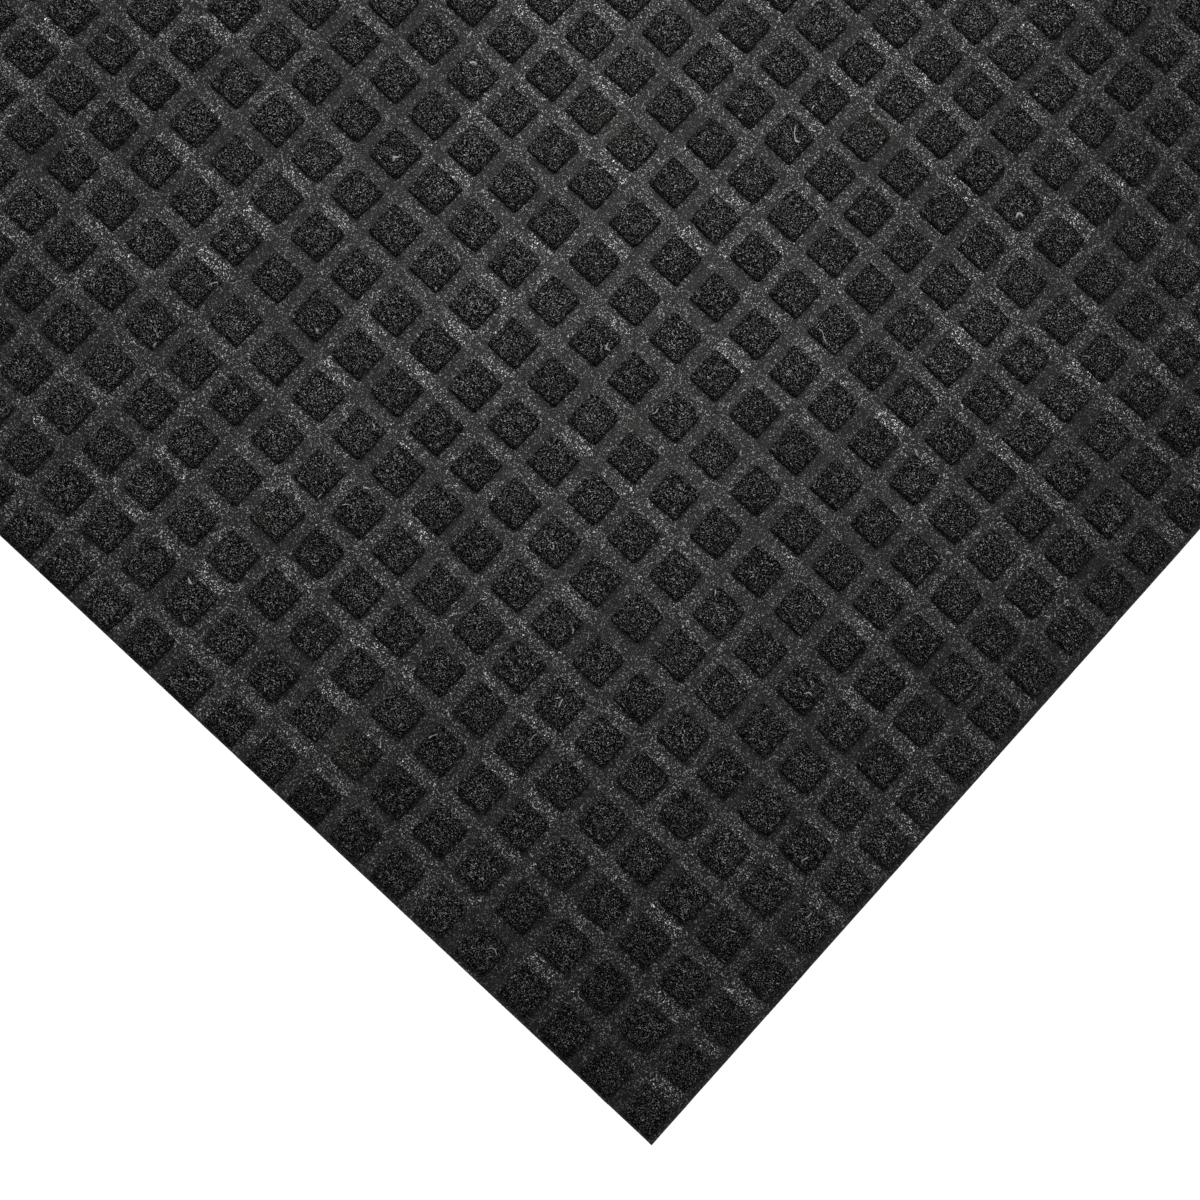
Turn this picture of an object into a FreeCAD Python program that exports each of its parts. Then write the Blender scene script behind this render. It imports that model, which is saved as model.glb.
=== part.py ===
"""Door mat: a waffle-faced needle-punched felt laminated on an anti-slip rubber sheet.

The mat is a flat laminate cut from a wider roll, so all four edges are bare cuts with no
border or binding. From the floor up it is a rubber backing, a latex binder coat, a woven
carrier scrim and the face felt, whose top is a grid of raised squares between pressed
channels. The cuts run along channels, so the outermost squares are whole.

Frame: millimetres, +Z up, the origin at the centre of the underside, the long side along X.
"""
import FreeCAD, Part
import os

# Outline of the mat.
MAT_LENGTH = 600.0
MAT_WIDTH = 400.0

# Waffle grid. The trims are the distance from the centres of the outermost squares to the
# cut edge, and SQUARE_FILL is the side of a square, all as a share of the grid's pitch.
SQUARES_ALONG_X = 50
SQUARES_ALONG_Y = 32
EDGE_TRIM_X = 0.50
EDGE_TRIM_Y = 0.40
SQUARE_FILL = 0.70
PITCH_X = MAT_LENGTH / (SQUARES_ALONG_X - 1 + 2 * EDGE_TRIM_X)
PITCH_Y = MAT_WIDTH / (SQUARES_ALONG_Y - 1 + 2 * EDGE_TRIM_Y)

# Thickness of each layer, from the floor up. The felt is pressed thin in the channels, and
# the squares stand above them.
BACKING_THICKNESS = 1.6
BINDER_THICKNESS = 0.3
SCRIM_THICKNESS = 0.3
CHANNEL_FELT_THICKNESS = 2.8
SQUARE_HEIGHT = 1.6

# How far the cutter that clears the channels reaches past the felt.
CUTTER_OVERHANG = 10.0


def centres(count, pitch):
    """Positions of the squares along one side, symmetric about the origin."""
    return [(index - (count - 1) / 2) * pitch for index in range(count)]


def sheet(bottom, thickness):
    """One flat layer with the mat's outline, lying at the given level."""
    corner = FreeCAD.Vector(-MAT_LENGTH / 2, -MAT_WIDTH / 2, bottom)
    return Part.makeBox(MAT_LENGTH, MAT_WIDTH, thickness, corner)


def rectangle(centre_x, centre_y, length, width, level):
    """A closed rectangular wire, counter-clockwise seen from above."""
    half_x = length / 2
    half_y = width / 2
    corners = [FreeCAD.Vector(centre_x + side_x * half_x, centre_y + side_y * half_y, level)
               for side_x, side_y in ((-1, -1), (1, -1), (1, 1), (-1, 1))]
    return Part.makePolygon(corners + [corners[0]])


def channel_cutter(level, height):
    """A plate larger than the mat, with a square hole wherever the felt stays raised."""
    outline = rectangle(0, 0, MAT_LENGTH + 2 * CUTTER_OVERHANG,
                        MAT_WIDTH + 2 * CUTTER_OVERHANG, level)
    holes = []
    for centre_x in centres(SQUARES_ALONG_X, PITCH_X):
        for centre_y in centres(SQUARES_ALONG_Y, PITCH_Y):
            hole = rectangle(centre_x, centre_y, SQUARE_FILL * PITCH_X, SQUARE_FILL * PITCH_Y,
                             level)
            holes.append(hole.reversed())
    plate = Part.Face([outline] + holes)
    return plate.extrude(FreeCAD.Vector(0, 0, height))


def face_felt(bottom):
    """The felt layer: a full-height sheet with the channels between its squares cut away."""
    channel_level = bottom + CHANNEL_FELT_THICKNESS
    full_sheet = sheet(bottom, CHANNEL_FELT_THICKNESS + SQUARE_HEIGHT)
    cutter = channel_cutter(channel_level, SQUARE_HEIGHT + CUTTER_OVERHANG)
    return full_sheet.cut(cutter).Solids[0]


def build_layers():
    """Every layer of the laminate by its node name, stacked from the floor up."""
    binder_bottom = BACKING_THICKNESS
    scrim_bottom = binder_bottom + BINDER_THICKNESS
    felt_bottom = scrim_bottom + SCRIM_THICKNESS
    return {
        "rubber_backing": sheet(0, BACKING_THICKNESS),
        "binder_coat": sheet(binder_bottom, BINDER_THICKNESS),
        "carrier_scrim": sheet(scrim_bottom, SCRIM_THICKNESS),
        "face_felt": face_felt(felt_bottom),
    }


os.makedirs("parts", exist_ok=True)
for name, solid in build_layers().items():
    solid.exportStep(f"parts/{name}.step")
    box = solid.BoundBox
    print(f"{name}: {len(solid.Faces)} faces, {solid.Volume / 1000:.1f} cm3, "
          f"z {box.ZMin:.2f} to {box.ZMax:.2f}, valid {solid.isValid()}")
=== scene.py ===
"""Looks of the door mat: fibre, pressed channels, cut edges and rubber around the CAD frame.

The felt is a pressed floor with one bump of loose pile on it for every square of the waffle.
Lengths are in metres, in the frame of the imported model, and every random draw is seeded.
"""
import math

import bpy
import numpy as np
from mathutils import Matrix, Vector


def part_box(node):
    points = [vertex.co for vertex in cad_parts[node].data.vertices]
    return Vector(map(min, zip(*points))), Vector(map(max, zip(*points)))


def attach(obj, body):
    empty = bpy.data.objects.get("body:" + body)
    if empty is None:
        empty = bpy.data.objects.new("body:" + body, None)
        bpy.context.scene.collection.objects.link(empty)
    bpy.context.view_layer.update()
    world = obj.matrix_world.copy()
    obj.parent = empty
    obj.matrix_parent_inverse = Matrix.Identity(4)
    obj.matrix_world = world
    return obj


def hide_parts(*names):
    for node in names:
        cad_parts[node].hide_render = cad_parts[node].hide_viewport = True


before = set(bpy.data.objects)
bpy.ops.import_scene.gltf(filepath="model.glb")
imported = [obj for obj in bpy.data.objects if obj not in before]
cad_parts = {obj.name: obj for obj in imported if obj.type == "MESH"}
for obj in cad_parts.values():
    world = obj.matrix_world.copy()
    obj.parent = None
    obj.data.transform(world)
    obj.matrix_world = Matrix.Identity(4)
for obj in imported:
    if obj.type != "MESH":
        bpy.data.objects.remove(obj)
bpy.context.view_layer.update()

MM = 0.001

# The waffle grid of the felt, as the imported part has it.
SQUARES_ALONG_X = 50
SQUARES_ALONG_Y = 32
EDGE_TRIM_X = 0.50
EDGE_TRIM_Y = 0.40
SQUARE_FILL = 0.70
CHANNEL_FELT_THICKNESS = 2.8 * MM

felt_low, felt_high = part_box("face_felt")
rubber_low, rubber_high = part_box("rubber_backing")
HALF_LENGTH = felt_high[0]
HALF_WIDTH = felt_high[1]
CHANNEL_LEVEL = felt_low[2] + CHANNEL_FELT_THICKNESS
SQUARE_HEIGHT = felt_high[2] - CHANNEL_LEVEL
PITCH_X = 2 * HALF_LENGTH / (SQUARES_ALONG_X - 1 + 2 * EDGE_TRIM_X)
PITCH_Y = 2 * HALF_WIDTH / (SQUARES_ALONG_Y - 1 + 2 * EDGE_TRIM_Y)

# Pieces with sharp edges have them wherever they turn by more than this.
SHARP_TURN = math.radians(30)

# A ripple is a sum of so many waves, with lengths between these shares of its wavelength.
RIPPLE_WAVES = 9
RIPPLE_LENGTHS = (0.7, 1.6)

# The cut edge of the felt rolls over by RIM_DROP in its last RIM_WIDTH, where it is painted dark:
# partly the cut fibre's own darkness, partly painted shade of the rolled-over edge. The felt is
# crushed and dimmed over the last CRUSH_WIDTH, its squares towards the channels' level.
RIM_WIDTH = 0.6 * MM
RIM_DROP = 0.35 * MM
RIM_DARK_AND_SHADE_TONE = 0.06
CRUSH_WIDTH = 3.0 * MM
CRUSH_SHARE = 0.85
CRUSH_POWER = 1.5
CRUSH_SHADE = 0.70

# Where the rim's grid lines lie, as shares of RIM_WIDTH from the edge. Lines of the waffle that
# come within RIM_CLEARANCE of the edge are left out.
RIM_LINES = np.array([0.0, 0.15, 0.5, 1.0])
RIM_CLEARANCE = 1.2 * RIM_WIDTH

# The felt's wall fades to WALL_TONE over WALL_FADE below its rim.
WALL_TONE = 0.50
WALL_FADE = 1.0 * MM

# The cut walls of the layers: rows of quads, and how ragged they are. A wall lies inside the
# outline by CUT_INSET of its raggedness, and ripples by CUT_SWING of it.
FELT_CUT = (5, 0.12 * MM)
RUBBER_CUT = (3, 0.06 * MM)
BINDER_CUT = (3, 0.15 * MM)
SCRIM_CUT = (2, 0.12 * MM)
CUT_INSET = 0.4
CUT_SWING = 0.6
CUT_RIPPLE = 2.5 * MM

# The channels dip in their middle and are uneven.
CHANNEL_DIP = 0.06 * MM
CHANNEL_UNEVEN = 0.05 * MM
CHANNEL_RIPPLE = 5 * MM

# How light the pressed felt is painted: in the stretches that run along X beside a square, in those
# along Y, and where the channels cross. These levels are painted light and shade: the stretches
# along X are painted lighter than the crossings, undoing the shade the squares cast on them, and
# those along Y darker, as the squares' painted shadow from a light at one side. Each stretch also
# has a random factor of its own. Its logarithm has this spread along X and Y, and is cut off at
# STRETCH_ENDS spreads.
LANE_X_PAINTED_LIGHT_TONE = 0.56
LANE_Y_PAINTED_SHADE_TONE = 0.37
CROSSING_TONE = 0.43
STRETCH_SPREAD = (0.33, 0.22)
STRETCH_ENDS = (-1.6, 1.3)

# Half the width of the step from a square's foot to the channel beside it.
FOOT_STEP = 0.12 * MM

# Section of a raised square, from its foot sunk in the floor to its crown: how far each ring
# of points lies inside the square's outline, its height as a share of the square's, and how
# light its fibre is painted. That lightness is painted shade: the walls and shoulders darker and
# the crown lighter, as on a domed square lit from above.
SQUARE_SECTION = (
    (0.02 * MM, -0.16, 0.80),
    (0.06 * MM, 0.10, 0.80),
    (0.12 * MM, 0.55, 0.74),
    (0.20 * MM, 0.90, 0.68),
    (0.46 * MM, 1.00, 0.78),
    (1.20 * MM, 1.03, 0.94),
    (2.50 * MM, 1.05, 1.12),
    (4.00 * MM, 1.05, 1.22),
)

# The radius of a square's corners at its outline, how much it grows with a ring's inset, and
# the least radius and half side of a ring.
CORNER_RADIUS = 0.75 * MM
RADIUS_GROWTH = 0.35
LEAST_RADIUS = 0.05 * MM
LEAST_HALF = 0.1 * MM

# The felt is dragged a little one way as it is pressed: by how much the half side of a square
# falls short, and how far the square sits from the middle of its cell, along X and along Y.
SQUARE_LOSS = (-0.04 * MM, 0.03 * MM)
SQUARE_SHIFT = (-0.10 * MM, 0.05 * MM)

# How the squares differ: a drift that neighbours share, then what each square has of its own
# in place, half side, corner radius, turn, height and tone.
DRIFT = 0.30 * MM
DRIFT_RIPPLE = 90 * MM
PLACE_SPREAD = 0.07 * MM
HALF_SPREAD = 0.08 * MM
RADIUS_SPREAD = 0.1 * MM
TURN_SPREAD = 0.010
HEIGHT_SPREAD = 0.03
TONE_SPREAD = 0.05

# The squares' ragged outlines, and their lumps, from LUMPS_FROM of their height up.
OUTLINE_RAGGED = 0.06 * MM
OUTLINE_RIPPLE = 2.4 * MM
LUMPS = 0.055 * MM
LUMPS_RIPPLE = 2.0 * MM
LUMPS_FROM = 0.5

# The squares are made in bands of whole rows, each of them one mesh.
BANDS = 4

# The grooves in the rubber's underside: pitch, half width of bottom and mouth, and depth. No
# groove's edge comes within GROOVE_CLEARANCE of the cut.
GROOVE_PITCH = 12 * MM
HALF_GROOVE_BOTTOM = 0.5 * MM
HALF_GROOVE_MOUTH = 0.9 * MM
GROOVE_DEPTH = 0.35 * MM
GROOVE_CLEARANCE = 0.2 * MM

# The blisters of the binder, and the weave of the scrim in flat tapes.
BINDER_SPACING = 4 * MM
BLISTER_DEPTH = 0.05 * MM
BLISTER_RIPPLE = 9 * MM
TAPE_WIDTH = 2.5 * MM
WEAVE_RISE = 0.05 * MM

# Seeds of the random patterns. A cut wall counts up from its seed row by row.
SEED_CUT = 50
SEED_CHANNEL = 11
SEED_STRETCH = 17
SEED_SQUARE = 7
SEED_DRIFT = (21, 22)
SEED_OUTLINE = (31, 32)
SEED_LUMPS = 33
SEED_BLISTER = 61

# How long a stroke of fibre is, and how large the clumps of fibre are, in the loose pile and
# where the felt is pressed.
PILE_STROKE = 0.36 * MM
PILE_CLUMP = 1.0 * MM
PRESSED_STROKE = 0.40 * MM
PRESSED_CLUMP = 1.2 * MM
RUBBED_PATCH = 6 * MM

# Brightness of the gaps between fibres and of the fibre, in pile and pressed felt. The gaps' deep
# black is painted shade between the fibres, and the bright strokes of fibre are partly painted
# glints. The pressed one is scaled down by its tones.
PILE_SHADE_TO_GLINT = (0.00078, 0.37)
PRESSED_SHADE_TO_GLINT = (0.0020, 1.50)

# Clouds and foreign matter in the felt: their sizes, and the distance between specks of lint.
CLOUD_SIZE = 40 * MM
SOIL_SIZE = 24 * MM
SOIL_COLOUR = (0.100, 0.088, 0.064, 1.0)
SPECK_SPACING = 2.6 * MM
HAIR_CURL = 7 * MM
HAIR_LENGTH = 3.2 * MM
LINT_COLOUR = (0.80, 0.80, 0.80, 1.0)

# The patterns of the layers below: grain, clouds and scuffs of the rubber, bubbles and dried
# skin of the binder, and streaks of the scrim's tape.
RUBBER_GRAIN = 0.5 * MM
RUBBER_CLOUD = 40 * MM
SCUFF_SIZE = 6 * MM
BUBBLE_SIZE = 0.8 * MM
SKIN_SIZE = 3 * MM
TAPE_STREAK = 1.5 * MM

# How many radians a wave texture of scale 1 turns in a metre.
WAVE_RADIANS = 20

# The studio's floor: how far below the mat it lies, how far it reaches, the size of its faint
# clouds, and the strength of its light.
STUDIO_GAP = 0.05 * MM
STUDIO_REACH = 60.0
STUDIO_CLOUD = 400 * MM
STUDIO_LIGHT = 3.3

# The world is white up to HORIZON_TOP and dim from OVERHEAD_START, as the sine of the climb.
HORIZON_TOP = 0.30
OVERHEAD_START = 0.44
OVERHEAD_STRENGTH = 0.15

# Lights on the mat: name, place, target, size and power in watts.
MAT_LIGHTS = (
    ("key", (-0.08, 0.06, 0.55), (0.12, -0.05, 0), 0.45, 1.90),
    ("accent", (0.155, -0.02, 0.21), (0.170, -0.045, 0), 0.16, 0.40),
)

# The camera: its place and target from the top of the corner at +X, -Y, which way is up in
# its picture, its sensor and lens in millimetres, and the nearest thing it sees.
CAMERA_PLACE = Vector((-82.4, 45.6, 343.3)) * MM
CAMERA_TARGET = Vector((-86.7, 77.2, 0)) * MM
PICTURE_UP = Vector((-0.680, 0.733, 0))
SENSOR_WIDTH = 36.0
LENS = 48.0
NEAREST = 10 * MM


# ---------------------------------------------------------------- mesh helpers

def ripple(x, y, wavelength, seed):
    """Smooth random values with a spread of about 1: waves of mixed direction and length."""
    draw = np.random.default_rng(seed)
    total = np.zeros(np.shape(x))
    for _ in range(RIPPLE_WAVES):
        heading = draw.uniform(0, 2 * math.pi)
        wave_number = 2 * math.pi / (wavelength * draw.uniform(*RIPPLE_LENGTHS))
        phase = draw.uniform(0, 2 * math.pi)
        total += np.sin(wave_number * (x * math.cos(heading) + y * math.sin(heading)) + phase)
    return total * math.sqrt(2 / RIPPLE_WAVES)


def make_piece(name, points, faces, material, node, values=None, sharp=False):
    """A mesh piece that rides on the mat and stands for one CAD node.

    values maps the name of a float attribute to one number per point, for the material. The
    piece is smooth all over, or with sharp edges wherever it turns by more than SHARP_TURN.
    """
    mesh = bpy.data.meshes.new(name)
    mesh.from_pydata(np.asarray(points).tolist(), [], np.asarray(faces).tolist())
    mesh.shade_smooth()
    if sharp:
        mesh.set_sharp_from_angle(angle=SHARP_TURN)
    for key, numbers in (values or {}).items():
        layer = mesh.attributes.new(key, "FLOAT", "POINT")
        layer.data.foreach_set("value", np.asarray(numbers, np.float32))
    mesh.materials.append(material)
    piece = bpy.data.objects.new(name, mesh)
    bpy.context.collection.objects.link(piece)
    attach(piece, "root")
    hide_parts(node)
    return piece


def grid_faces(columns, rows, first=0):
    """Quads of a grid of points stored row by row, seen counter-clockwise from above."""
    index = first + np.arange(columns * rows).reshape(rows, columns)
    corners = [index[:-1, :-1], index[:-1, 1:], index[1:, 1:], index[1:, :-1]]
    return np.stack([corner.ravel() for corner in corners], axis=1)


def boundary(columns, rows):
    """Indices of a grid's border points, once round counter-clockwise."""
    index = np.arange(columns * rows).reshape(rows, columns)
    sides = [index[0, :-1], index[:-1, -1], index[-1, :0:-1], index[:0:-1, 0]]
    return np.concatenate(sides)


def closed_sheet(x_lines, y_lines, top, bottom, steps, ragged):
    """Points and quads of a closed sheet on a grid of lines.

    top(x, y) and bottom(x, y) give the heights of its faces. Its cut wall has steps rows of
    quads and is ragged by about so many metres.
    """
    x, y = [values.ravel() for values in np.meshgrid(x_lines, y_lines)]
    upper = np.stack([x, y, top(x, y)], axis=1)
    lower = np.stack([x, y, bottom(x, y)], axis=1)
    columns, rows = len(x_lines), len(y_lines)
    rim = boundary(columns, rows)
    count = len(upper)
    loops = [count + rim]
    points = [upper, lower]
    faces = [grid_faces(columns, rows), grid_faces(columns, rows, count)[:, ::-1]]
    for step in range(1, steps):
        share = step / steps
        loop = lower[rim] * (1 - share) + upper[rim] * share
        along = loop[:, 0] - loop[:, 1]
        swing = CUT_SWING * ripple(along, loop[:, 2], CUT_RIPPLE, SEED_CUT + step)
        push = ragged * (swing - CUT_INSET)
        for axis, half_side in enumerate((x_lines[-1], y_lines[-1])):
            outward = np.sign(loop[:, axis]) * (np.abs(loop[:, axis]) >= half_side)
            loop[:, axis] += push * outward
        loops.append(2 * count + (step - 1) * len(rim) + np.arange(len(rim)))
        points.append(loop)
    loops.append(rim)
    for low_loop, high_loop in zip(loops, loops[1:]):
        ring = [low_loop, np.roll(low_loop, -1), np.roll(high_loop, -1), high_loop]
        faces.append(np.stack(ring, axis=1))
    return np.concatenate(points), np.concatenate(faces)


# ---------------------------------------------------------------- shader helpers

def add(tree, kind, inputs=None, **settings):
    """A new shader node. inputs maps socket names or numbers to values or output sockets."""
    node = tree.nodes.new("ShaderNode" + kind)
    for key, value in settings.items():
        setattr(node, key, value)
    for key, value in (inputs or {}).items():
        if isinstance(value, bpy.types.NodeSocket):
            tree.links.new(value, node.inputs[key])
        else:
            node.inputs[key].default_value = value
    return node


def maths(tree, operation, first, second=0.0):
    """The result of one Math node."""
    return add(tree, "Math", {0: first, 1: second}, operation=operation).outputs[0]


def between(tree, value, low, high, to_low=0.0, to_high=1.0):
    """value mapped smoothly from the range low..high to the range to_low..to_high."""
    inputs = {"Value": value, "From Min": low, "From Max": high,
              "To Min": to_low, "To Max": to_high}
    return add(tree, "MapRange", inputs, interpolation_type="SMOOTHSTEP").outputs["Result"]


def blend_values(tree, share, first, second):
    """Two numbers mixed by a share. They are sockets 2 and 3 of a Mix node."""
    return add(tree, "Mix", {0: share, 2: first, 3: second}).outputs[0]


def blend_colours(tree, share, first, second):
    """Two colours mixed by a share. They are sockets 6 and 7 of a Mix node."""
    inputs = {0: share, 6: first, 7: second}
    return add(tree, "Mix", inputs, data_type="RGBA").outputs[2]


def grey(level, warmth=0.0):
    """A nearly neutral colour."""
    return (level * (1 + warmth), level, level * (1 - warmth), 1.0)


def noise(tree, place, size, detail=2.0, roughness=0.5):
    """A noise value between 0 and 1 with features of about the given size."""
    inputs = {"Vector": place, "Scale": 1 / size, "Detail": detail, "Roughness": roughness}
    return add(tree, "TexNoise", inputs).outputs["Fac"]


def moved(tree, place, offset):
    """The coordinates shifted by about offset metres, so that two patterns don't line up."""
    shift = (offset, -0.7 * offset, 0.4 * offset)
    return add(tree, "VectorMath", {0: place, 1: shift}, operation="ADD").outputs[0]


def strands(tree, place, size, width):
    """Thin curved lines like strands of fibre: where a noise field crosses its middle value."""
    field = noise(tree, place, size, detail=1.0)
    distance = maths(tree, "ABSOLUTE", maths(tree, "SUBTRACT", field, 0.5))
    return between(tree, distance, 0.3 * width, width, 1.0, 0.0)


def new_material(name):
    """An empty node material and its tree, with object coordinates ready."""
    material = bpy.data.materials.new(name)
    material.use_nodes = True
    tree = material.node_tree
    tree.nodes.clear()
    place = add(tree, "TexCoord").outputs["Object"]
    return material, tree, place


def finish_material(tree, colour, roughness, height, relief, **uniform):
    """Adds the surface shader. uniform holds numbers that are the same all over, by the names of
    the shader's sockets with _ for each space.
    """
    bump = add(tree, "Bump", {"Height": height, "Distance": relief, "Strength": 1.0})
    shader = add(tree, "BsdfPrincipled", {"Base Color": colour, "Roughness": roughness,
                                          "Normal": bump.outputs["Normal"]})
    for key, value in uniform.items():
        shader.inputs[key.replace("_", " ")].default_value = value
    output = add(tree, "OutputMaterial")
    tree.links.new(shader.outputs[0], output.inputs["Surface"])


# ---------------------------------------------------------------- materials

def lint_share(tree, place):
    """How much lint covers the felt: round specks in a few random cells, and rare curved hairs."""
    inputs = {"Vector": moved(tree, place, 4.3), "Scale": 1 / SPECK_SPACING}
    cells = add(tree, "TexVoronoi", inputs)
    chance = add(tree, "SeparateColor", {"Color": cells.outputs["Color"]}).outputs[0]
    specks = maths(tree, "MULTIPLY", between(tree, chance, 0.965, 0.985),
                   between(tree, cells.outputs["Distance"], 0.02, 0.07, 0.7, 0.0))
    loose = strands(tree, moved(tree, place, 5.1), HAIR_CURL, width=0.008)
    rare = noise(tree, moved(tree, place, 6.3), HAIR_LENGTH, detail=0.0)
    hairs = maths(tree, "MULTIPLY", loose, between(tree, rare, 0.74, 0.82, 0.0, 0.4))
    return maths(tree, "MAXIMUM", specks, hairs)


def felt_colour(tree, place, share, gap, fibre):
    """Grey from gap to fibre by equal ratios, with cloudy shading, faint soiling and lint. The
    gap's black is painted shade between fibres and the fibre's peaks are partly painted glints.

    The mesh's tone_and_shading attribute scales it: it holds random tones and painted light and
    shade, and 1 is the felt's usual level.
    """
    level = maths(tree, "MULTIPLY", maths(tree, "POWER", fibre / gap, share), gap)
    # This attribute carries painted light and shade as well as random tones.
    tone_and_shading = add(tree, "Attribute", attribute_name="tone_and_shading").outputs["Fac"]
    level = maths(tree, "MULTIPLY", level, tone_and_shading)
    cloud = noise(tree, moved(tree, place, 1.7), CLOUD_SIZE, detail=5.0, roughness=0.65)
    level = maths(tree, "MULTIPLY", level, between(tree, cloud, 0.30, 0.70, 0.86, 1.14))
    colour = add(tree, "CombineColor", {"Red": level, "Green": level, "Blue": level}).outputs[0]
    soil = noise(tree, moved(tree, place, 2.9), SOIL_SIZE, detail=5.0)
    colour = blend_colours(tree, between(tree, soil, 0.60, 0.80, 0.0, 0.07), colour, SOIL_COLOUR)
    return blend_colours(tree, lint_share(tree, place), colour, LINT_COLOUR)


def fibre_strokes_and_glints(tree, place, size):
    """Short bright strokes of fibre on dark gaps, from 0 to 1. As colour, the strokes are partly
    painted glints and the gaps painted shade.
    """
    strokes = strands(tree, place, size, width=0.10)
    cross = strands(tree, moved(tree, place, 0.37), 0.8 * size, width=0.10)
    breaks = noise(tree, moved(tree, place, 0.53), 1.4 * size, detail=0.0)
    first = maths(tree, "MULTIPLY", strokes, between(tree, breaks, 0.42, 0.58))
    second = maths(tree, "MULTIPLY", cross, between(tree, breaks, 0.60, 0.42))
    lines = maths(tree, "MAXIMUM", first, second)
    grain = noise(tree, moved(tree, place, 0.71), 0.9 * size, detail=1.0)
    grain = between(tree, grain, 0.36, 0.57, 0.12, 1.0)
    return maths(tree, "MULTIPLY", lines, grain)


def pile_material():
    """Loose fibre on the squares: bright strokes, partly painted glints, over deep black gaps of
    painted shade.
    """
    material, tree, place = new_material("felt_pile")
    strokes_and_glints = fibre_strokes_and_glints(tree, place, PILE_STROKE)
    clumps = noise(tree, moved(tree, place, 0.91), PILE_CLUMP, detail=3.0)
    lit = maths(tree, "MULTIPLY", strokes_and_glints, between(tree, clumps, 0.28, 0.66, 0.78, 1.0))
    colour = felt_colour(tree, place, lit, *PILE_SHADE_TO_GLINT)
    height = maths(tree, "ADD", lit, maths(tree, "MULTIPLY", clumps, 0.8))
    roughness = between(tree, lit, 0.0, 1.0, 0.9, 0.6)
    finish_material(tree, colour, roughness, height, relief=0.12 * MM,
                    Specular_IOR_Level=0.02, Sheen_Weight=0.01, Sheen_Roughness=0.5)
    return material


def pressed_material():
    """Fibre pressed flat in the channels: paler and closer, its bright strokes partly painted
    glints, with smooth rubbed patches.
    """
    material, tree, place = new_material("felt_pressed")
    strokes_and_glints = fibre_strokes_and_glints(tree, place, PRESSED_STROKE)
    clumps = noise(tree, moved(tree, place, 0.91), PRESSED_CLUMP, detail=3.0)
    lit = maths(tree, "MULTIPLY", strokes_and_glints, between(tree, clumps, 0.28, 0.66, 0.80, 1.0))
    rubbed = noise(tree, moved(tree, place, 2.2), RUBBED_PATCH, detail=3.0)
    rubbed = between(tree, rubbed, 0.42, 0.64)
    matted = maths(tree, "ADD", maths(tree, "MULTIPLY", lit, 0.50), 0.22)
    lit = blend_values(tree, maths(tree, "MULTIPLY", rubbed, 0.35), lit, matted)
    colour = felt_colour(tree, place, lit, *PRESSED_SHADE_TO_GLINT)
    height = maths(tree, "ADD", lit, clumps)
    roughness = between(tree, lit, 0.0, 1.0, 0.56, 0.38)
    finish_material(tree, colour, roughness, height, relief=0.16 * MM,
                    Specular_IOR_Level=0.26, Sheen_Weight=0.01, Sheen_Roughness=0.5)
    return material


def rubber_material():
    """Dull black rubber sheet with a fine moulded grain and pale scuffs."""
    material, tree, place = new_material("rubber_sheet")
    grain = noise(tree, place, RUBBER_GRAIN, detail=4.0, roughness=0.6)
    cloud = noise(tree, moved(tree, place, 0.6), RUBBER_CLOUD, detail=4.0)
    scuffs = noise(tree, moved(tree, place, 1.9), SCUFF_SIZE, detail=6.0, roughness=0.7)
    scuffs = between(tree, scuffs, 0.60, 0.78)
    colour = blend_colours(tree, cloud, grey(0.013), grey(0.024, 0.03))
    colour = blend_colours(tree, maths(tree, "MULTIPLY", scuffs, 0.25), colour, grey(0.10, 0.03))
    worn = maths(tree, "ADD", grain, maths(tree, "MULTIPLY", scuffs, 0.3))
    roughness = between(tree, worn, 0.3, 1.0, 0.52, 0.82)
    finish_material(tree, colour, roughness, grain, relief=0.06 * MM, Specular_IOR_Level=0.25)
    return material


def binder_material():
    """Filled latex: dull, slightly bubbly, paler where it has dried on the fibres."""
    material, tree, place = new_material("binder_latex")
    bubbles = noise(tree, place, BUBBLE_SIZE, detail=3.0)
    skin = noise(tree, moved(tree, place, 0.8), SKIN_SIZE, detail=4.0)
    colour = blend_colours(tree, between(tree, skin, 0.45, 0.70), grey(0.018), grey(0.045, 0.02))
    roughness = between(tree, bubbles, 0.2, 0.8, 0.55, 0.8)
    finish_material(tree, colour, roughness, bubbles, relief=0.08 * MM, Specular_IOR_Level=0.3)
    return material


def scrim_material():
    """Flat woven polypropylene tape, two ways, with a slight gloss."""
    material, tree, place = new_material("scrim_weave")
    scale = math.pi / TAPE_WIDTH / WAVE_RADIANS
    weave = []
    for direction in ("X", "Y"):
        inputs = {"Vector": place, "Scale": scale, "Distortion": 0.2}
        wave = add(tree, "TexWave", inputs, bands_direction=direction)
        weave.append(wave.outputs["Fac"])
    crossing = maths(tree, "MAXIMUM", *weave)
    streaks = noise(tree, place, TAPE_STREAK, detail=3.0)
    colour = blend_colours(tree, maths(tree, "MULTIPLY", crossing, streaks), grey(0.02), grey(0.07))
    roughness = between(tree, streaks, 0.3, 0.7, 0.4, 0.6)
    finish_material(tree, colour, roughness, crossing, relief=0.1 * MM, Specular_IOR_Level=0.4)
    return material


def studio_material():
    """Plain pale backdrop with the faintest unevenness."""
    material, tree, place = new_material("pale_floor")
    cloud = noise(tree, place, STUDIO_CLOUD)
    colour = blend_colours(tree, cloud, grey(0.86), grey(0.89))
    roughness = between(tree, cloud, 0.0, 1.0, 0.7, 0.8)
    finish_material(tree, colour, roughness, cloud, relief=0.1 * MM, Specular_IOR_Level=0.2)
    return material


# ---------------------------------------------------------------- the felt

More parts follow.
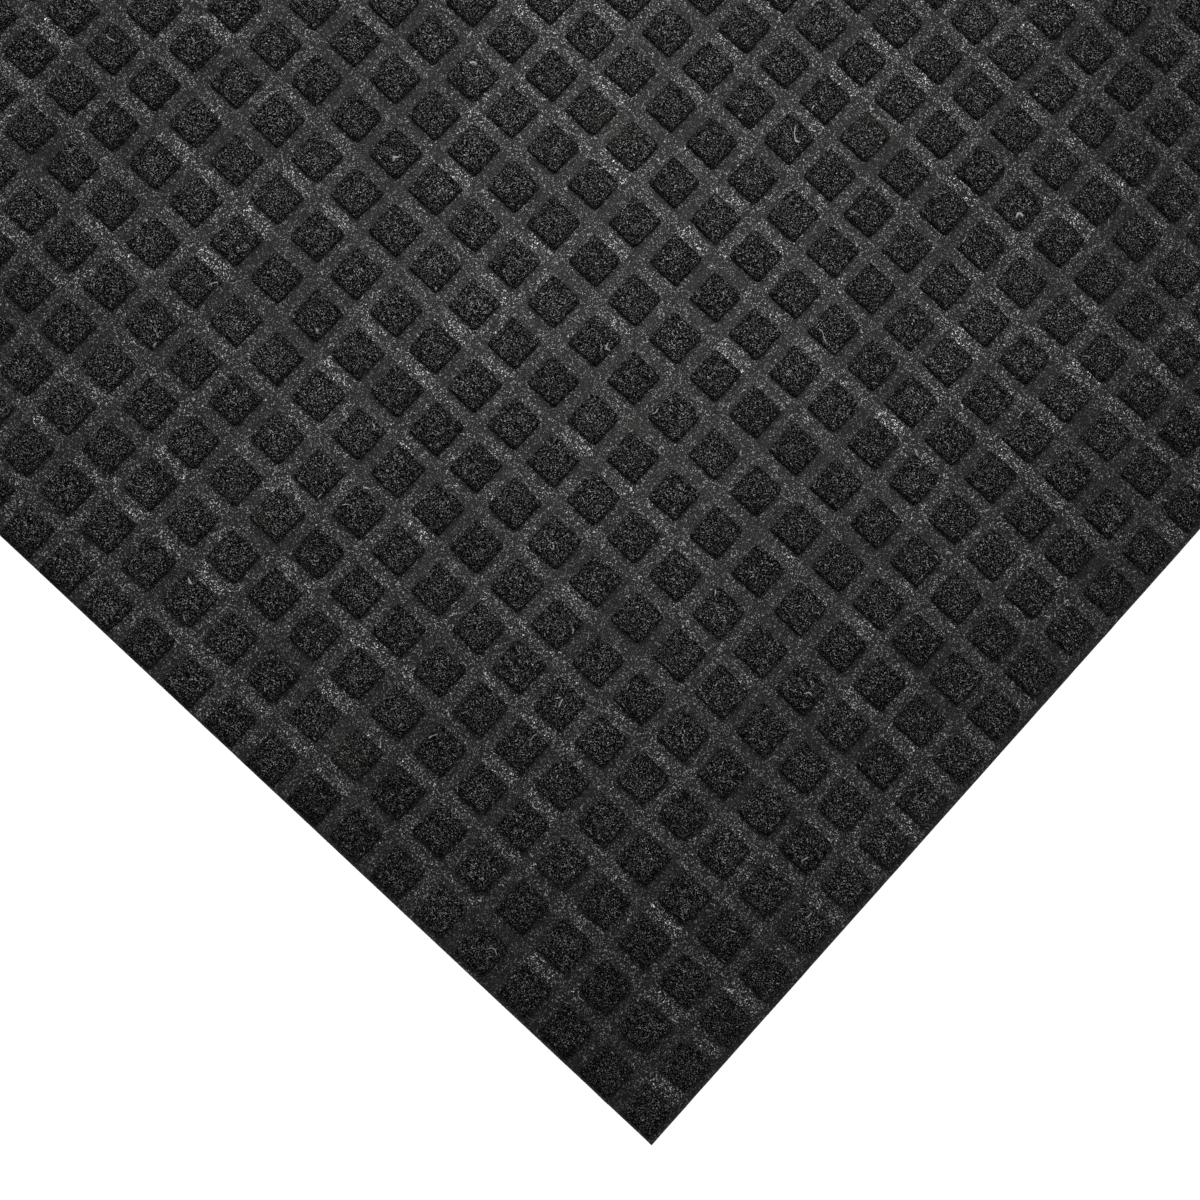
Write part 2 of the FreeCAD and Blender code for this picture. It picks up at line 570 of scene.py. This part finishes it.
def centres(count, pitch):
    """Positions of the squares along one side, symmetric about the middle."""
    return (np.arange(count) - (count - 1) / 2) * pitch


def waffle_lines(count, pitch, half_side):
    """Grid lines of the felt floor along one side: mid-channel, at squares' feet and on the rim."""
    middle = centres(count, pitch)
    foot = SQUARE_FILL * pitch / 2
    parts = [middle[:-1] + pitch / 2]
    parts += [middle + side * (foot + step) for side in (-1, 1) for step in (-FOOT_STEP, FOOT_STEP)]
    lines = np.concatenate(parts)
    lines = lines[np.abs(lines) < half_side - RIM_CLEARANCE]
    rim = half_side - np.append(RIM_WIDTH * RIM_LINES, CRUSH_WIDTH)
    return np.sort(np.concatenate([lines, rim, -rim]))


def rim_nearness(x, y, width=RIM_WIDTH):
    """1 on the felt's cut edges, falling to 0 at the given width inside them."""
    inside = np.minimum(HALF_LENGTH - np.abs(x), HALF_WIDTH - np.abs(y))
    return np.clip(1 - inside / width, 0, 1)


def edge_shade(x, y, tone_and_shading):
    """The given level, dimmed over the crushed strip along the cut and almost black on its rim,
    where the black is partly painted shade of the rolled-over edge.
    """
    tone_and_shading = tone_and_shading * (1 - CRUSH_SHADE * rim_nearness(x, y, CRUSH_WIDTH))
    # The rim's near-black is partly painted shade of the rolled-over edge.
    return tone_and_shading + (RIM_DARK_AND_SHADE_TONE - tone_and_shading) * rim_nearness(x, y)


def in_channel(along, count, pitch):
    """1 on the middle line of a channel, falling to 0 at the middle of a square."""
    phase = (along - centres(count, pitch)[0]) / pitch
    return 0.5 - 0.5 * np.cos(2 * math.pi * phase)


def beside_square(along, count, pitch):
    """1 within the side of a square, 0 in the channel past it."""
    off = np.abs((along - centres(count, pitch)[0] + pitch / 2) % pitch - pitch / 2)
    return np.clip((SQUARE_FILL * pitch / 2 + FOOT_STEP - off) / (2 * FOOT_STEP), 0, 1)


def stretch_shade(x, y, beside_x, beside_y):
    """A random factor for every stretch of channel between two squares."""
    draw = np.random.default_rng(SEED_STRETCH)
    column = (x - centres(SQUARES_ALONG_X, PITCH_X)[0]) / PITCH_X
    row = (y - centres(SQUARES_ALONG_Y, PITCH_Y)[0]) / PITCH_Y
    shades = draw.normal(0, 1, (2, SQUARES_ALONG_X + 1, SQUARES_ALONG_Y + 1))
    shades = np.clip(shades, *STRETCH_ENDS)
    square_column, square_row = np.rint(column).astype(int), np.rint(row).astype(int)
    gap_column, gap_row = np.floor(column).astype(int) + 1, np.floor(row).astype(int) + 1
    along_x = STRETCH_SPREAD[0] * shades[0, square_column, gap_row]
    along_y = STRETCH_SPREAD[1] * shades[1, gap_column, square_row]
    return np.exp(along_x * beside_x * (1 - beside_y) + along_y * beside_y * (1 - beside_x))


def channel_top(x, y):
    """Height of the pressed felt, between its squares and under them."""
    dip = np.maximum(in_channel(x, SQUARES_ALONG_X, PITCH_X),
                     in_channel(y, SQUARES_ALONG_Y, PITCH_Y))
    uneven = CHANNEL_UNEVEN * ripple(x, y, CHANNEL_RIPPLE, SEED_CHANNEL)
    return CHANNEL_LEVEL - CHANNEL_DIP * dip + uneven - RIM_DROP * rim_nearness(x, y) ** 2


def make_felt_floor(material):
    """The pressed felt that carries the squares, as one closed sheet."""
    x_lines = waffle_lines(SQUARES_ALONG_X, PITCH_X, HALF_LENGTH)
    y_lines = waffle_lines(SQUARES_ALONG_Y, PITCH_Y, HALF_WIDTH)
    points, faces = closed_sheet(
        x_lines, y_lines, channel_top, lambda x, y: np.full(len(x), felt_low[2]), *FELT_CUT)
    x, y, z = points.T
    beside_x = beside_square(x, SQUARES_ALONG_X, PITCH_X)
    beside_y = beside_square(y, SQUARES_ALONG_Y, PITCH_Y)
    # Painted light and shade: the stretches along X lighter, those along Y darker, than the
    # crossings.
    tone_and_shading = (CROSSING_TONE + (LANE_X_PAINTED_LIGHT_TONE - CROSSING_TONE) * beside_x * (1 - beside_y)
            + (LANE_Y_PAINTED_SHADE_TONE - CROSSING_TONE) * beside_y * (1 - beside_x))
    tone_and_shading = tone_and_shading * stretch_shade(x, y, beside_x, beside_y)
    tone_and_shading = edge_shade(x, y, tone_and_shading)
    depth = np.clip((CHANNEL_LEVEL - RIM_DROP - z) / WALL_FADE, 0, 1)
    tone_and_shading = tone_and_shading + (WALL_TONE - tone_and_shading) * depth
    return make_piece("felt_floor", points, faces, material, "face_felt",
                      {"tone_and_shading": tone_and_shading})


def square_template():
    """A square grid of points as rings: each point's ring, counted from the foot, and its place
    on the unit square that stands for the ring.
    """
    rings = len(SQUARE_SECTION) - 1
    across, along = np.meshgrid(np.arange(-rings, rings + 1), np.arange(-rings, rings + 1))
    ring = np.maximum(np.abs(across), np.abs(along)).ravel()
    safe = np.maximum(ring, 1)
    place_x = np.sin(across.ravel() / safe * math.pi / 2)
    place_y = np.sin(along.ravel() / safe * math.pi / 2)
    return rings - ring, place_x, place_y


def rounded(place_x, place_y, half_x, half_y, radius):
    """Points of the unit square's border moved on to a rectangle with rounded corners."""
    x, y = place_x * half_x, place_y * half_y
    past_x = np.abs(x) - (half_x - radius)
    past_y = np.abs(y) - (half_y - radius)
    corner = (past_x > 0) & (past_y > 0)
    reach = np.hypot(np.where(corner, past_x, 1), np.where(corner, past_y, 1))
    pull = np.where(corner, np.maximum(past_x, past_y) / reach, 1)
    x = np.where(corner, np.sign(x) * (half_x - radius + past_x * pull), x)
    y = np.where(corner, np.sign(y) * (half_y - radius + past_y * pull), y)
    return x, y


def square_points(column, row):
    """Points and tones of the raised squares at these grid places, one row for each square. Their
    tones hold painted shade: darker walls and shoulders, a lighter crown.
    """
    draw = np.random.default_rng([SEED_SQUARE, int(row[0])])
    level, place_x, place_y = square_template()
    # The section's tones are painted shade: darker walls and shoulders, a lighter crown.
    inset, share, tone_and_shading = np.array(SQUARE_SECTION).T[:, level]

    def varied(spread):
        """One normal draw per square, as a column."""
        return draw.normal(0, spread, (len(column), 1))

    middle_x = centres(SQUARES_ALONG_X, PITCH_X)[column][:, None]
    middle_y = centres(SQUARES_ALONG_Y, PITCH_Y)[row][:, None]
    drift_x, drift_y = [
        DRIFT * ripple(middle_x, middle_y, DRIFT_RIPPLE, seed) + varied(PLACE_SPREAD)
        for seed in SEED_DRIFT]
    half_x = SQUARE_FILL * PITCH_X / 2 - SQUARE_LOSS[0] + varied(HALF_SPREAD)
    half_y = SQUARE_FILL * PITCH_Y / 2 - SQUARE_LOSS[1] + varied(HALF_SPREAD)
    radius = CORNER_RADIUS + RADIUS_GROWTH * inset + varied(RADIUS_SPREAD)
    radius = np.minimum(radius, half_x - inset)
    x, y = rounded(place_x, place_y, np.maximum(half_x - inset, LEAST_HALF),
                   np.maximum(half_y - inset, LEAST_HALF), np.maximum(radius, LEAST_RADIUS))
    turn = varied(TURN_SPREAD)
    x, y = x - turn * y, y + turn * x

    x = x + middle_x + drift_x + SQUARE_SHIFT[0]
    y = y + middle_y + drift_y + SQUARE_SHIFT[1]
    x = x + OUTLINE_RAGGED * ripple(x, y, OUTLINE_RIPPLE, SEED_OUTLINE[0])
    y = y + OUTLINE_RAGGED * ripple(x, y, OUTLINE_RIPPLE, SEED_OUTLINE[1])
    x = np.clip(x, -HALF_LENGTH, HALF_LENGTH)
    y = np.clip(y, -HALF_WIDTH, HALF_WIDTH)
    height = SQUARE_HEIGHT * (1 + varied(HEIGHT_SPREAD))
    lumps = LUMPS * ripple(x, y, LUMPS_RIPPLE, SEED_LUMPS) * (share > LUMPS_FROM)
    crush = CRUSH_SHARE * rim_nearness(x, y, CRUSH_WIDTH) ** CRUSH_POWER
    z = CHANNEL_LEVEL + (height * share + lumps) * (1 - crush)
    tone_and_shading = edge_shade(x, y, tone_and_shading * (1 + varied(TONE_SPREAD)))
    z = z - RIM_DROP * rim_nearness(x, y) ** 2
    return np.stack([x, y, z], axis=2), tone_and_shading


def make_squares(band, material):
    """One band of raised squares, each a bump of loose pile, open below, its foot in the floor."""
    rows_per_band = SQUARES_ALONG_Y // BANDS
    row, column = np.divmod(np.arange(rows_per_band * SQUARES_ALONG_X), SQUARES_ALONG_X)
    points, tone_and_shading = square_points(column, row + band * rows_per_band)
    squares, count, _ = points.shape
    side = 2 * len(SQUARE_SECTION) - 1
    first = (np.arange(squares) * count)[:, None, None]
    bump = grid_faces(side, side)
    faces = (first + bump).reshape(-1, 4)
    return make_piece(f"felt_squares_{band + 1}", points.reshape(-1, 3), faces, material,
                      "face_felt", {"tone_and_shading": tone_and_shading.ravel()})


# ---------------------------------------------------------------- the layers below

def make_rubber(material):
    """The rubber sheet, with shallow crossing grooves pressed into its underside."""
    def groove(along):
        """1 in the bottom of a groove, 0 between grooves."""
        off = np.abs((along / GROOVE_PITCH) % 1 - 0.5) * GROOVE_PITCH
        slope = HALF_GROOVE_MOUTH - HALF_GROOVE_BOTTOM
        return np.clip((HALF_GROOVE_MOUTH - off) / slope, 0, 1)

    def lines(half_side):
        """Grid lines along one side, at the edges of every groove."""
        count = int(2 * half_side / GROOVE_PITCH) + 1
        middle = (np.arange(-count, count) + 0.5) * GROOVE_PITCH
        offsets = (-HALF_GROOVE_MOUTH, -HALF_GROOVE_BOTTOM, HALF_GROOVE_BOTTOM, HALF_GROOVE_MOUTH)
        found = np.concatenate([middle + off for off in offsets])
        found = found[np.abs(found) < half_side - GROOVE_CLEARANCE]
        return np.sort(np.append(found, [-half_side, half_side]))

    points, faces = closed_sheet(
        lines(HALF_LENGTH), lines(HALF_WIDTH),
        lambda x, y: np.full(len(x), rubber_high[2]),
        lambda x, y: rubber_low[2] + GROOVE_DEPTH * np.maximum(groove(x), groove(y)),
        *RUBBER_CUT)
    return make_piece("rubber_sheet", points, faces, material, "rubber_backing",
                      sharp=True)


def even_lines(half_side, spacing):
    """Evenly spaced grid lines along one side, edges included."""
    return np.linspace(-half_side, half_side, round(2 * half_side / spacing) + 1)


def make_binder(material):
    """The latex coat: a thin blistered sheet with a torn-looking cut edge."""
    low, high = (corner[2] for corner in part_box("binder_coat"))

    def blister(x, y):
        """How far the coat's surface sinks below its level."""
        return BLISTER_DEPTH * (1 + np.clip(ripple(x, y, BLISTER_RIPPLE, SEED_BLISTER), -1, 1))

    points, faces = closed_sheet(
        even_lines(HALF_LENGTH, BINDER_SPACING), even_lines(HALF_WIDTH, BINDER_SPACING),
        lambda x, y: high - blister(x, y), lambda x, y: np.full(len(x), low), *BINDER_CUT)
    return make_piece("binder_sheet", points, faces, material, "binder_coat",
                      sharp=True)


def make_scrim(material):
    """The scrim: flat tapes in a plain weave, which rise and sink at every crossing."""
    low, high = (corner[2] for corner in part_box("carrier_scrim"))

    def rise(x, y):
        """1 where a tape passes over, -1 where it passes under."""
        return (np.cos(math.pi * (x + HALF_LENGTH) / TAPE_WIDTH)
                * np.cos(math.pi * (y + HALF_WIDTH) / TAPE_WIDTH))

    points, faces = closed_sheet(
        even_lines(HALF_LENGTH, TAPE_WIDTH), even_lines(HALF_WIDTH, TAPE_WIDTH),
        lambda x, y: high - WEAVE_RISE * (1 - rise(x, y)),
        lambda x, y: low + WEAVE_RISE * (1 + rise(x, y)), *SCRIM_CUT)
    return make_piece("scrim_cloth", points, faces, material, "carrier_scrim",
                      sharp=True)


# ---------------------------------------------------------------- stage

def make_studio_floor():
    """A floor that reaches the horizon."""
    mesh = bpy.data.meshes.new("studio_floor")
    level = rubber_low[2] - STUDIO_GAP
    corners = [(side_x * STUDIO_REACH, side_y * STUDIO_REACH, level)
               for side_x, side_y in ((-1, -1), (1, -1), (1, 1), (-1, 1))]
    mesh.from_pydata(corners, [], [(0, 1, 2, 3)])
    mesh.materials.append(studio_material())
    floor = bpy.data.objects.new("studio_floor", mesh)
    bpy.context.collection.objects.link(floor)
    return floor


def look_at(thing, target, up):
    """Turns a camera or light to face a point, with up towards the top of its picture."""
    forward = (target - thing.location).normalized()
    right = forward.cross(up).normalized()
    axes = Matrix((right, right.cross(forward), -forward)).transposed()
    thing.rotation_mode = "QUATERNION"
    thing.rotation_quaternion = axes.to_quaternion()


def make_area_light(name, place, target, size, power):
    """One soft square light, out of the camera's sight."""
    data = bpy.data.lights.new(name, "AREA")
    data.shape = "SQUARE"
    data.size = size
    data.energy = power
    light = bpy.data.objects.new(name, data)
    light.location = place
    light.visible_camera = False
    look_at(light, target, Vector((0, 1, 0)))
    bpy.context.collection.objects.link(light)
    return light


def group(name, things):
    """A collection for light linking, outside the scene's own."""
    collection = bpy.data.collections.new(name)
    for thing in things:
        collection.objects.link(thing)
    return collection


def make_world():
    """White round the horizon, behind the floor, and dim overhead, where it only fills."""
    world = bpy.data.worlds.new("studio")
    world.use_nodes = True
    tree = world.node_tree
    direction = add(tree, "TexCoord").outputs["Generated"]
    climb = add(tree, "SeparateXYZ", {0: direction}).outputs["Z"]
    strength = between(tree, climb, HORIZON_TOP, OVERHEAD_START, 1.0, OVERHEAD_STRENGTH)
    tree.links.new(strength, tree.nodes["Background"].inputs["Strength"])
    tree.nodes["Background"].inputs["Color"].default_value = (1.0, 1.0, 1.0, 1.0)
    bpy.context.scene.world = world


def make_lights(mat_pieces, floor):
    """Soft lights for the mat, and an even light of its own for the floor.

    Nothing shades the floor's light, so the mat lies on plain white.
    """
    lit = group("mat_pieces", mat_pieces)
    for name, place, target, size, power in MAT_LIGHTS:
        light = make_area_light(name, Vector(place), Vector(target), size, power)
        light.light_linking.receiver_collection = lit
    data = bpy.data.lights.new("floor_light", "SUN")
    data.energy = STUDIO_LIGHT
    floor_light = bpy.data.objects.new("floor_light", data)
    bpy.context.collection.objects.link(floor_light)
    floor_light.light_linking.receiver_collection = group("floor_alone", [floor])
    floor_light.light_linking.blocker_collection = group("no_blockers", [])


def make_camera():
    """A camera almost straight above the corner at +X, -Y, with the corner low in the picture."""
    corner = Vector((HALF_LENGTH, -HALF_WIDTH, felt_high[2]))
    data = bpy.data.cameras.new("camera")
    data.sensor_width = SENSOR_WIDTH
    data.lens = LENS
    data.clip_start = NEAREST
    camera = bpy.data.objects.new("camera", data)
    camera.location = corner + CAMERA_PLACE
    look_at(camera, corner + CAMERA_TARGET, PICTURE_UP)
    bpy.context.collection.objects.link(camera)
    bpy.context.scene.camera = camera


# ---------------------------------------------------------------- build

loose_pile = pile_material()
pressed_felt = pressed_material()

rubber = make_rubber(rubber_material())
binder = make_binder(binder_material())
scrim = make_scrim(scrim_material())
felt_floor = make_felt_floor(pressed_felt)
square_bands = [make_squares(band, loose_pile) for band in range(BANDS)]

studio_floor = make_studio_floor()
make_world()
make_lights([rubber, binder, scrim, felt_floor, *square_bands], studio_floor)
make_camera()
bpy.context.scene.view_settings.view_transform = "Standard"
